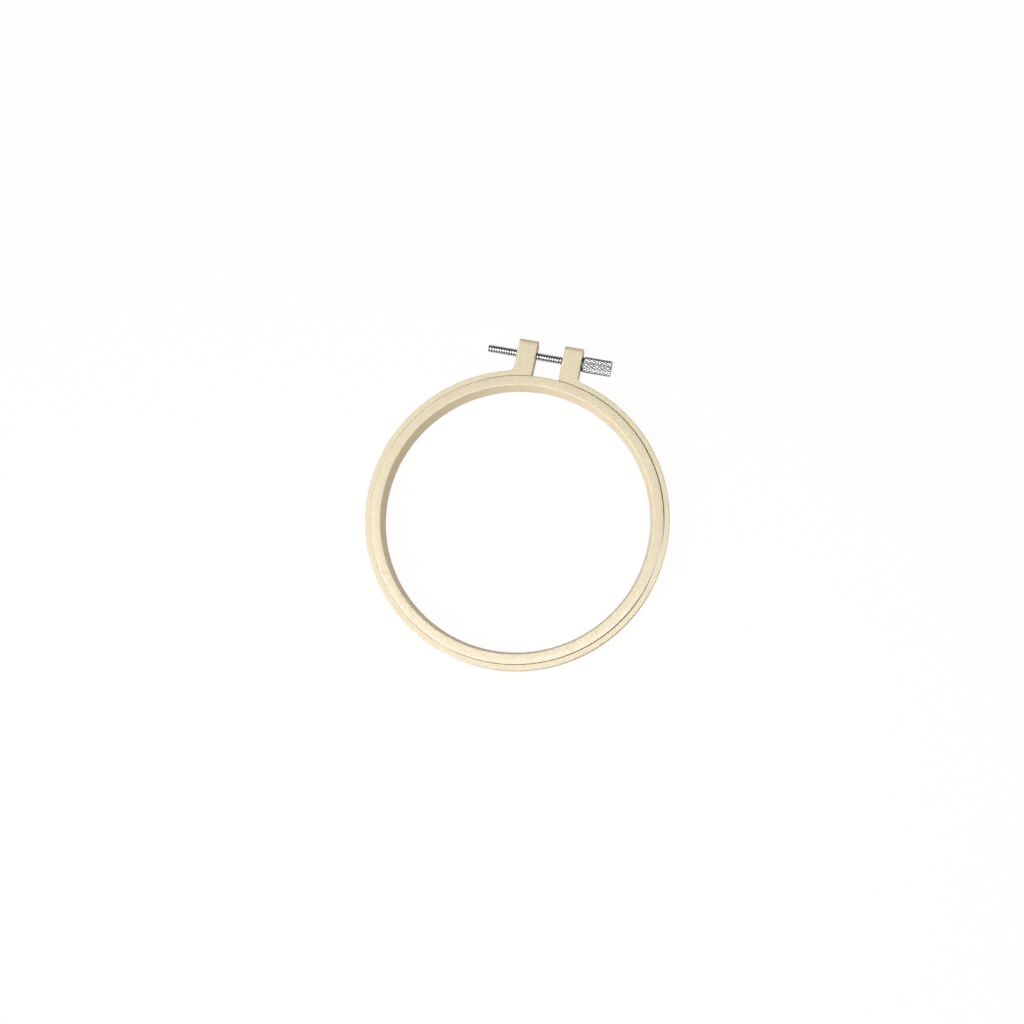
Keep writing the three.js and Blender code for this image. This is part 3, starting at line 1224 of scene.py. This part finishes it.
    def knurl_rule(self) -> ShapeRule:
        """The tree: crossed grooves pressed into a barrel, which leave rows of small blunt pyramids.

        Returns:
            The tree.
        """
        rule = ShapeRule("crossed_knurl")
        barrel = rule.takes("Barrel", "NodeSocketGeometry")
        start, end, radius, depth = rule.numbers("Start", "End", "Radius", "Groove Depth")
        land, around, rows = rule.numbers("Land Share", "Around", "Along")
        axis_y, axis_z = rule.numbers("Axis Y", "Axis Z")
        x, y, z = rule.split(rule.add("GeometryNodeInputPosition").outputs[0])
        across = y - axis_y
        up = z - axis_z
        out = rule.math("SQRT", across * across + up * up)
        turn = rule.math("ARCTAN2", up, across) / (2 * math.pi) * around
        run = (x - start) / (end - start) * rows
        grooves = []
        for wave in (turn + run, turn - run):
            grooves.append(rule.math("ABSOLUTE", rule.math("FRACT", wave + 0.5) - 0.5) * 2.0)
        nearest = rule.math("MINIMUM", *grooves)
        cut = depth * rule.spread(nearest, (0.0, 1.0 - land), (1.0, 0.0))
        kept = rule.math("MINIMUM", out, radius - cut)
        # the floor under the divisor is for the points on the axis itself
        scale = kept / rule.math("MAXIMUM", out, 0.001 * MICRON)
        place = rule.join(x, axis_y + across * scale, axis_z + up * scale)
        knurled = rule.node("GeometryNodeSetPosition", {"Geometry": barrel, "Position": place})
        rule.gives(knurled.outputs[0])
        return rule

    def is_knurled(self, face: bmesh.types.BMFace, start: float, end: float) -> bool:
        """Whether a face lies on the barrel's outside.

        Args:
            face: the face.
            start: where the knurl starts along X.
            end: where it ends.

        Returns:
            True if it does.
        """
        place = face.calc_center_median()
        out = math.hypot(place.y - self.axis[0], place.z - self.axis[1])
        return start < place.x < end and out > self.socket_radius + self.knurl_depth

    def build_head(self, finish: bpy.types.Material) -> None:
        """The knurled barrel head, with its blind socket.

        Args:
            finish: the head's material.
        """
        low, high = self.head
        start, end = low.x, high.x
        radius = (high.z - low.z) / 2
        cut = self.head_chamfer
        run = end - start - 2 * cut
        steps = self.knurl_along * self.knurl_samples
        bottom = start + self.socket_depth
        profile = [(bottom, 0.0), (bottom, self.socket_radius), (start, self.socket_radius)]
        profile += [(start, radius - cut), (start + cut * 0.5, radius - cut * 0.5)]
        profile += [(start + cut + run * i / steps, radius) for i in range(steps + 1)]
        profile += [(end - cut * 0.5, radius - cut * 0.5), (end, radius - cut)]
        # a ring half way in keeps the end face's triangles short
        profile += [(end, radius * 0.5), (end, 0.0)]
        shape = revolve(profile, self.axis, self.knurl_around * self.knurl_samples)
        # a middle point in each face lets the grooves' edges run straight both ways
        barrel = [face for face in shape.faces if self.is_knurled(face, start + cut, end - cut)]
        bmesh.ops.poke(shape, faces=barrel)
        base = plain_piece("barrel", shape)
        mesh = base.data
        bpy.data.objects.remove(base)
        values = {
            "Start": start + cut,
            "End": end - cut,
            "Radius": radius,
            "Groove Depth": self.knurl_depth,
            "Land Share": self.knurl_land,
            "Around": float(self.knurl_around),
            "Along": float(self.knurl_along),
            "Axis Y": self.axis[0],
            "Axis Z": self.axis[1],
            "Material": finish,
        }
        piece = self.knurl_rule().bake("knurled_barrel_head", values, mesh)
        smooth_shape(piece, self.knurl_crease_deg)
        fit_out(piece, "knurled_head", Body.SCREW)

    def build_washer(self, finish: bpy.types.Material) -> None:
        """The thin washer under the head, its edges a little rounded.

        Args:
            finish: the washer's material.
        """
        low, high = self.washer
        soft, steps = self.washer_round, self.washer_round_steps
        outer = (high.z - low.z) / 2 - soft
        inner = self.washer_bore_radius + soft
        profile = arc((low.x + soft, outer), soft, (180, 90), steps)
        profile += arc((high.x - soft, outer), soft, (90, 0), steps)
        profile += arc((high.x - soft, inner), soft, (0, -90), steps)
        profile += arc((low.x + soft, inner), soft, (-90, -180), steps)
        profile.append(profile[0])
        piece = plain_piece("plain_washer", revolve(profile, self.axis, self.washer_columns))
        piece.data.materials.append(finish)
        smooth_shape(piece, self.washer_crease_deg)
        fit_out(piece, "washer", Body.WASHER)

    def build(self, groups: Finishes) -> None:
        """Builds the four pieces of the screw's line.

        Args:
            groups: the shared shader groups.
        """
        head_radius = (self.head[1].z - self.head[0].z) / 2
        thread = groove_span(self.thread_radius, self.thread_depth, self.thread_painted_shade)
        knurl = groove_span(head_radius, self.knurl_depth, self.knurl_painted_shade)
        bore = (self.thread_radius, self.thread_radius + self.thread_clearance)
        # each metal gets painted shade down in its grooves
        rolled = TurnedMetal("rolled_thread_steel", Metal.NICKEL, self.axis, thread, shade=0.8)
        pressed = TurnedMetal("knurled_steel", Metal.NICKEL, self.axis, knurl, shade=0.7)
        plain = TurnedMetal("washer_steel", Metal.DARK_STEEL, self.axis, bore)
        brass = TurnedMetal("turned_brass", Metal.BRASS, self.axis, bore)
        rule = self.thread_rule()
        self.build_shank(rule, rolled.material(groups))
        self.build_insert(rule, brass.material(groups))
        self.build_head(pressed.material(groups))
        self.build_washer(plain.material(groups))


@dataclass
class PhotoCamera:
    """The camera, placed by the fit of the rings' and lugs' edges.

    aim is the middle of the hoop's front, and offset is where the camera sees it. The hoop is tilted, its
    nearest edge towards tilt_towards in the picture, and then turned in the picture.
    """

    aim: Vector
    focal_px: float = 1200.0
    frame_px: float = 1024.0
    sensor_mm: float = 36.0
    nearest: float = 0.01
    tilt: float = math.radians(11.68)
    tilt_towards: float = math.radians(-67.4)
    turn: float = math.radians(-11.8)
    offset: Point = (1.85 * MM, -2.33 * MM, -596.6 * MM)

    def place(self) -> None:
        """Makes the camera and puts it where the fit says."""
        side = math.sin(self.tilt)
        lean_x, lean_y = -math.cos(self.tilt_towards) * side, -math.sin(self.tilt_towards) * side
        normal = Vector((lean_x, lean_y, math.cos(self.tilt)))
        level = Vector((math.cos(self.turn), math.sin(self.turn), 0.0))
        across = (level - normal * level.dot(normal)).normalized()
        upward = normal.cross(across)
        # the hoop's axes as the camera sees them, set as rows: the transpose turns the camera instead
        turned = Matrix((across, upward, normal))
        data = bpy.data.cameras.new("camera")
        data.sensor_width = self.sensor_mm
        data.lens = self.focal_px / self.frame_px * self.sensor_mm
        data.clip_start = self.nearest
        camera = bpy.data.objects.new("camera", data)
        camera.matrix_world = Matrix.Translation(self.aim - turned @ Vector(self.offset)) @ turned.to_4x4()
        bpy.context.scene.collection.objects.link(camera)
        bpy.context.scene.camera = camera


@dataclass(frozen=True)
class SoftLamp:
    """A round soft lamp that looks at the hoop's middle, its power in watts."""

    name: str
    turn_deg: float
    height_deg: float
    distance: float
    size: float
    power: float

    def build(self) -> None:
        """Makes the lamp and puts it in its place."""
        turn, height = math.radians(self.turn_deg), math.radians(self.height_deg)
        flat = math.cos(height)
        away = Vector((math.cos(turn) * flat, math.sin(turn) * flat, math.sin(height)))
        data = bpy.data.lights.new(self.name, "AREA")
        data.shape = "DISK"
        data.size = self.size
        data.energy = self.power
        lamp = bpy.data.objects.new(self.name, data)
        lamp.location = away * self.distance
        lamp.rotation_euler = away.to_track_quat("Z", "Y").to_euler()
        bpy.context.scene.collection.objects.link(lamp)


@dataclass
class Studio:
    """Plain pale floor, a broad lamp on the left, a near one above, and a soft sky.

    The sky is bright low down on the main lamp's side, with a weaker fill low down across from it, and
    what surfaces mirror has a level of its own. An edge gives where the sky changes, by how far a direction
    points to that side: 0 straight up, 1 level with the floor.
    """

    floor_half: float = 3.0
    floor_drop: float = 0.05 * MM
    floor_colour: Colour = (0.56, 0.47, 0.41)
    floor_roughness: float = 0.9
    floor_gloss: float = 0.2
    floor_glow: float = 0.88
    floor_white: float = 1.07
    floor_mirrored: float = 0.4
    main_lamp: SoftLamp = SoftLamp("main_lamp", 221.0, 60.0, distance=1.3, size=1.15, power=11.0)
    near_lamp: SoftLamp = SoftLamp("near_lamp", 322.0, 72.0, distance=0.7, size=0.3, power=1.6)
    sky_turn: float = math.radians(222.0)
    sky_edge: Span = (0.5, 0.95)
    sky_dark: float = 0.02
    sky_bright: float = 1.4
    fill_turn: float = math.radians(36.0)
    fill_edge: Span = (0.6, 0.97)
    fill_bright: float = 0.68
    mirrored_edge: Span = (0.02, 0.28)
    mirrored_dark: float = 0.0
    mirrored_bright: float = 1.45
    mirrored_low_edge: Span = (0.45, 0.9)
    mirrored_low: float = 0.25

    def floor(self) -> None:
        """The floor: white to the camera, darker in reflections, with the object's soft shadow on it."""
        shape = bmesh.new()
        half, drop = self.floor_half, -self.floor_drop
        corners = [(-half, -half, drop), (half, -half, drop), (half, half, drop), (-half, half, drop)]
        shape.faces.new([shape.verts.new(corner) for corner in corners])
        piece = plain_piece("floor", shape)
        paint = Paint("pale_floor")
        paint.sets(
            Base_Color=with_alpha(self.floor_colour),
            Roughness=self.floor_roughness,
            Specular_IOR_Level=self.floor_gloss,
        )
        path = paint.add("ShaderNodeLightPath").outputs
        mirrored = Field(paint, path["Is Glossy Ray"]) * self.floor_mirrored
        direct = Field(paint, path["Is Camera Ray"]) + Field(paint, path["Is Transmission Ray"])
        seen = paint.math("MINIMUM", direct + mirrored, 1.0) * self.floor_glow
        white = {"Color": with_alpha(WHITE), "Strength": self.floor_white}
        glow = paint.node("ShaderNodeEmission", white).outputs[0]
        mixed = paint.node("ShaderNodeMixShader", {0: seen, 1: paint.shader.outputs[0], 2: glow}).outputs[0]
        paint.feed(paint.tree.nodes["Material Output"].inputs["Surface"], mixed)
        piece.data.materials.append(paint.material)

    def sky(self) -> None:
        """The soft sky: white to the camera, and at a level of its own in reflections."""
        world = bpy.data.worlds.new("soft_sky")
        world.use_nodes = True
        net = NodeNet(world.node_tree)
        x, y, _ = net.split(net.add("ShaderNodeTexCoord").outputs["Generated"])
        towards = x * math.cos(self.sky_turn) + y * math.sin(self.sky_turn)
        aside = x * math.cos(self.fill_turn) + y * math.sin(self.fill_turn)
        soft = net.spread(towards, self.sky_edge, (self.sky_dark, self.sky_bright), smooth=True)
        soft += net.spread(aside, self.fill_edge, (0.0, self.fill_bright), smooth=True)
        levels = (self.mirrored_dark, self.mirrored_bright)
        mirrored = net.spread(towards, self.mirrored_edge, levels, smooth=True)
        mirrored *= net.spread(towards, self.mirrored_low_edge, (1.0, self.mirrored_low), smooth=True)
        path = net.add("ShaderNodeLightPath").outputs
        level = soft + (mirrored - soft) * Field(net, path["Is Glossy Ray"])
        level += (1.0 - level) * Field(net, path["Is Camera Ray"])
        backdrop = net.tree.nodes["Background"].inputs
        net.feed(backdrop["Strength"], level)
        net.feed(backdrop["Color"], with_alpha(WHITE))
        bpy.context.scene.world = world

    def build(self) -> None:
        """Sets the whole studio up."""
        self.floor()
        self.main_lamp.build()
        self.near_lamp.build()
        self.sky()
        bpy.context.scene.view_settings.view_transform = "Standard"


def main() -> None:
    """Builds the hoop round its frame, then the studio and the camera."""
    logging.basicConfig(level=logging.INFO)
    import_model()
    outer, inner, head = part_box("outer_ring"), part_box("inner_ring"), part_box("knurled_head")
    # the rings' centre lies a radius above the outer ring's lowest point
    centre_y = outer[0].y + outer[1].x
    PhotoCamera(Vector((0.0, centre_y, outer[1].z))).place()
    Studio().build()
    groups = Finishes()
    screw = ClampScrew(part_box("screw_shank"), head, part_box("washer"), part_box("threaded_insert"))
    OuterRing(outer, screw.axis).build(MouldedPlastic("outer_plastic", centre_y).material(groups))
    InnerRing(inner).build(MouldedPlastic("inner_plastic", centre_y).material(groups))
    screw.build(groups)


if __name__ == "__main__":
    main()
